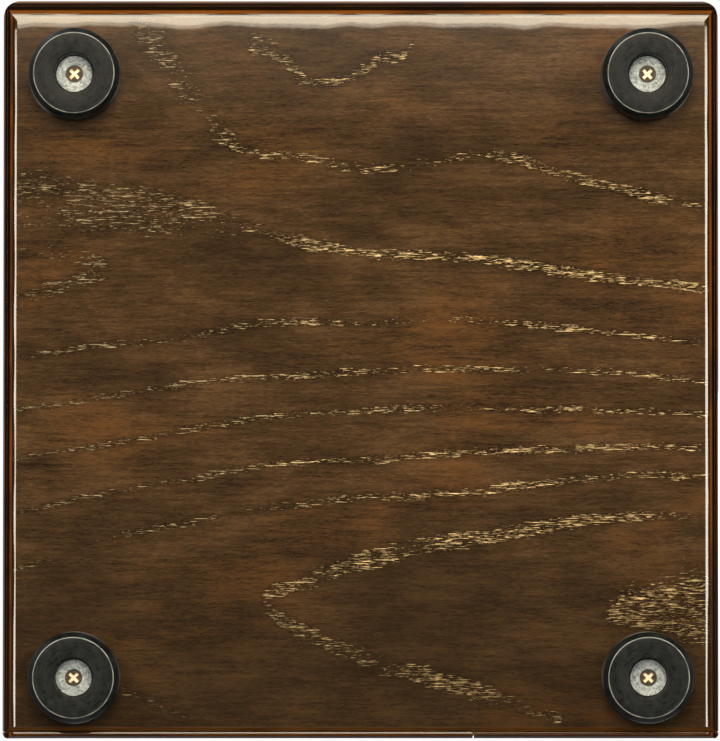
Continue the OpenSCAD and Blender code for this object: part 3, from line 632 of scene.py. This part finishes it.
def felt_sheet(name, node, hole=None, cell=1.6 * MM):
    """A felt laid on a board, with a fuzzy cut edge, and a round hole where the pin passes."""
    fuzz, loft, slack = 0.16 * MM, 0.08 * MM, 0.1 * MM
    low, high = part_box(node)
    columns, rows = (round((high[k] - low[k]) / cell) for k in (0, 1))
    form = bmesh.new()
    grid = []
    for j in range(rows + 1):
        for k in range(columns + 1):
            x = low.x + (high.x - low.x) * k / columns
            y = low.y + (high.y - low.y) * j / rows
            fray = noise.noise(Vector((x, y, 0)) * 400) * fuzz + fuzz
            x += fray * ((k == 0) - (k == columns))
            y += fray * ((j == 0) - (j == rows))
            z = high.z - slack + loft * noise.noise(Vector((x, y, 0.1)) * 220)
            grid.append(form.verts.new((x, y, z)))
    for j in range(rows):
        for k in range(columns):
            first = j * (columns + 1) + k
            form.faces.new([grid[first + step] for step in (0, 1, columns + 2, columns + 1)])
    if hole:
        centre, radius = Vector(hole[:2]), hole[2]
        reach = radius + cell / 2
        inside = [face for face in form.faces if all((v.co.xy - centre).length < reach for v in face.verts)]
        bmesh.ops.delete(form, geom=inside, context="FACES")
        for vert in form.verts:
            if vert.is_boundary and (vert.co.xy - centre).length < radius + 2 * cell:
                vert.co.xy = centre + (vert.co.xy - centre).normalized() * radius
    for face in form.faces:
        face.smooth = True
    mesh = bpy.data.meshes.new(name)
    form.to_mesh(mesh)
    form.free()
    piece = new_piece(name, mesh, node, "felt")
    thickness = piece.modifiers.new("thickness", "SOLIDIFY")
    thickness.thickness = high.z - low.z - 2 * slack
    thickness.offset = -1


def add_felts():
    """The linings of the compartment and the drawer. The first has a hole that clears the pin by 1 mm."""
    low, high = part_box("drawer_pin")
    hole = ((low.x + high.x) / 2, (low.y + high.y) / 2, (high.x - low.x) / 2 + 1 * MM)
    felt_sheet("compartment_lining", "compartment_felt", hole)
    felt_sheet("drawer_lining", "drawer_felt")


# ---------- studio ----------

CAMERA_LENS = 359.7
CAMERA_PLACE = (0.0069, -0.05905, -1.592)
CAMERA_TARGET = (0.0002, -0.00045, 0.008)
FLOOR_HALF = 3.0
FLOOR_GAP = 0.3 * MM        # keeps the floor off the feet
MIDDLE = (0, 0, 0.01)       # what every light points at
BANK_WIDTH = 0.36
WARM = (1.0, 0.86, 0.66)
CREAM = (1.0, 0.92, 0.8)


def looking(place, target):
    """A matrix at place that looks at target, with the top of its view towards +Y."""
    place = Vector(place)
    forward = (Vector(target) - place).normalized()
    right = forward.cross(Vector((0, 1, 0))).normalized()
    up = right.cross(forward)
    turn = Matrix((right, up, -forward)).transposed()
    return Matrix.Translation(place) @ turn.to_4x4()


def add_camera():
    """Looks square up at the underside, with +Y at the top of the picture, from far away."""
    data = bpy.data.cameras.new("camera")
    data.lens = CAMERA_LENS
    data.sensor_width = 36
    camera = bpy.data.objects.new("camera", data)
    camera.matrix_world = looking(CAMERA_PLACE, CAMERA_TARGET)
    bpy.context.scene.collection.objects.link(camera)
    bpy.context.scene.camera = camera


def add_softbox(name, place, size, brightness, tint=(1.0, 1.0, 1.0), mirrored=True):
    """A soft area light that the camera doesn't see. Brightness 1 is that of the white background.
    One that isn't mirrored lights the object without showing in its lacquer."""
    data = bpy.data.lights.new(name, "AREA")
    data.shape = "RECTANGLE"
    data.color = tint
    data.size, data.size_y = size
    data.energy = brightness * math.pi * size[0] * size[1]
    light = bpy.data.objects.new(name, data)
    light.matrix_world = looking(place, MIDDLE)
    light.visible_camera = False
    light.visible_glossy = mirrored
    bpy.context.scene.collection.objects.link(light)


def add_floor():
    """A wide pale floor just under the feet. From below it is clear, so the underside shows."""
    half = FLOOR_HALF
    level = CAD_BOX[0].z - FLOOR_GAP
    mesh = bpy.data.meshes.new("floor")
    corners = [(-half, -half, level), (half, -half, level), (half, half, level), (-half, half, level)]
    mesh.from_pydata(corners, [], [(0, 1, 2, 3)])
    floor = bpy.data.objects.new("floor", mesh)
    s = Shader("floor")
    pale = s.add("ShaderNodeBsdfDiffuse", {"Color": srgb(232, 231, 228)})
    clear = s.add("ShaderNodeBsdfTransparent")
    facing = s.add("ShaderNodeNewGeometry").outputs["Backfacing"]
    surface = s.add("ShaderNodeMixShader", {0: facing})
    s.tree.links.new(pale.outputs[0], surface.inputs[1])
    s.tree.links.new(clear.outputs[0], surface.inputs[2])
    output = s.add("ShaderNodeOutputMaterial")
    s.tree.links.new(surface.outputs[0], output.inputs[0])
    mesh.materials.append(s.material)
    for unseen in ("visible_diffuse", "visible_glossy", "visible_transmission", "visible_shadow"):
        setattr(floor, unseen, False)
    bpy.context.scene.collection.objects.link(floor)


def add_world():
    """White to the camera. Other rays find a bright room above and a dark one below."""
    world = bpy.data.worlds.new("studio")
    world.use_nodes = True
    tree = world.node_tree
    tree.nodes.clear()

    def node(kind, **inputs):
        made = tree.nodes.new(kind)
        for key, value in inputs.items():
            socket = made.inputs[key.replace("_", " ")]
            if isinstance(value, bpy.types.NodeSocket):
                tree.links.new(value, socket)
            else:
                socket.default_value = value
        return made

    path = node("ShaderNodeLightPath")
    ray = node("ShaderNodeTexCoord").outputs["Generated"]
    height = node("ShaderNodeSeparateXYZ", Vector=ray).outputs[2]

    def room(low, high, dark, bright):
        """The room's brightness, dark below the height low and bright above high, both from -1 to 1."""
        limits = {"From_Min": low, "From_Max": high, "To_Min": dark, "To_Max": bright}
        return node("ShaderNodeMapRange", Value=height, **limits).outputs[0]

    lighting, mirrored = room(-0.3, 0.2, 0.04, 1.1), room(0.3, 0.95, 0.03, 0.6)
    unseen = node("ShaderNodeMix", Factor=path.outputs["Is Glossy Ray"], A=lighting, B=mirrored).outputs[0]
    light = node("ShaderNodeMix", Factor=path.outputs["Is Camera Ray"], A=unseen, B=1.0).outputs[0]
    background = node("ShaderNodeBackground", Color=(1.0, 1.0, 1.0, 1.0), Strength=light)
    node("ShaderNodeOutputWorld", Surface=background.outputs[0])
    bpy.context.scene.world = world


def add_studio():
    """Strips mirrored in the side rounds, a bank mirrored in the back round, and soft room lights."""
    add_camera()
    add_world()
    add_floor()
    for side, x in (("left", 0.36), ("right", -0.36)):
        add_softbox(f"strip_{side}", (x, 0.0, -1.15), (0.14, 0.34), 14, CREAM)
    # Each stretch of the bank: where it starts and ends along Y, its height and its brightness
    bank = {
        "haze": (0.148, 0.186, -1.2, 0.3), "fade": (0.186, 0.2, -1.2, 4), "rise": (0.2, 0.214, -1.2, 8),
        "near": (0.206, 0.686, -1.12, 12), "far": (0.59, 0.89, -0.92, 11), "end": (0.82, 0.96, -0.8, 4),
    }
    for name, (start, end, z, brightness) in bank.items():
        place, size = (0.0, (start + end) / 2, z), (BANK_WIDTH, end - start)
        add_softbox(f"bank_{name}", place, size, brightness, WARM)
    add_softbox("strip_front", (0.0, -0.62, -1.0), (0.36, 0.2), 4)
    add_softbox("corner_left", (0.78, 0.72, -0.55), (0.36, 0.36), 16, mirrored=False)
    add_softbox("corner_right", (-0.82, 0.55, -0.55), (0.36, 0.36), 15, mirrored=False)
    add_softbox("front_card", (0.0, -1.3, 0.15), (0.8, 0.6), 0.9)
    add_softbox("overhead", (-0.5, -0.6, 1.6), (1.4, 1.4), 2.4)
    add_softbox("overhead_back", (0.8, 1.0, 1.2), (1.0, 1.0), 2)


dress_cad_nodes()
add_feet()
add_felts()
add_studio()
bpy.context.scene.view_settings.view_transform = "Standard"
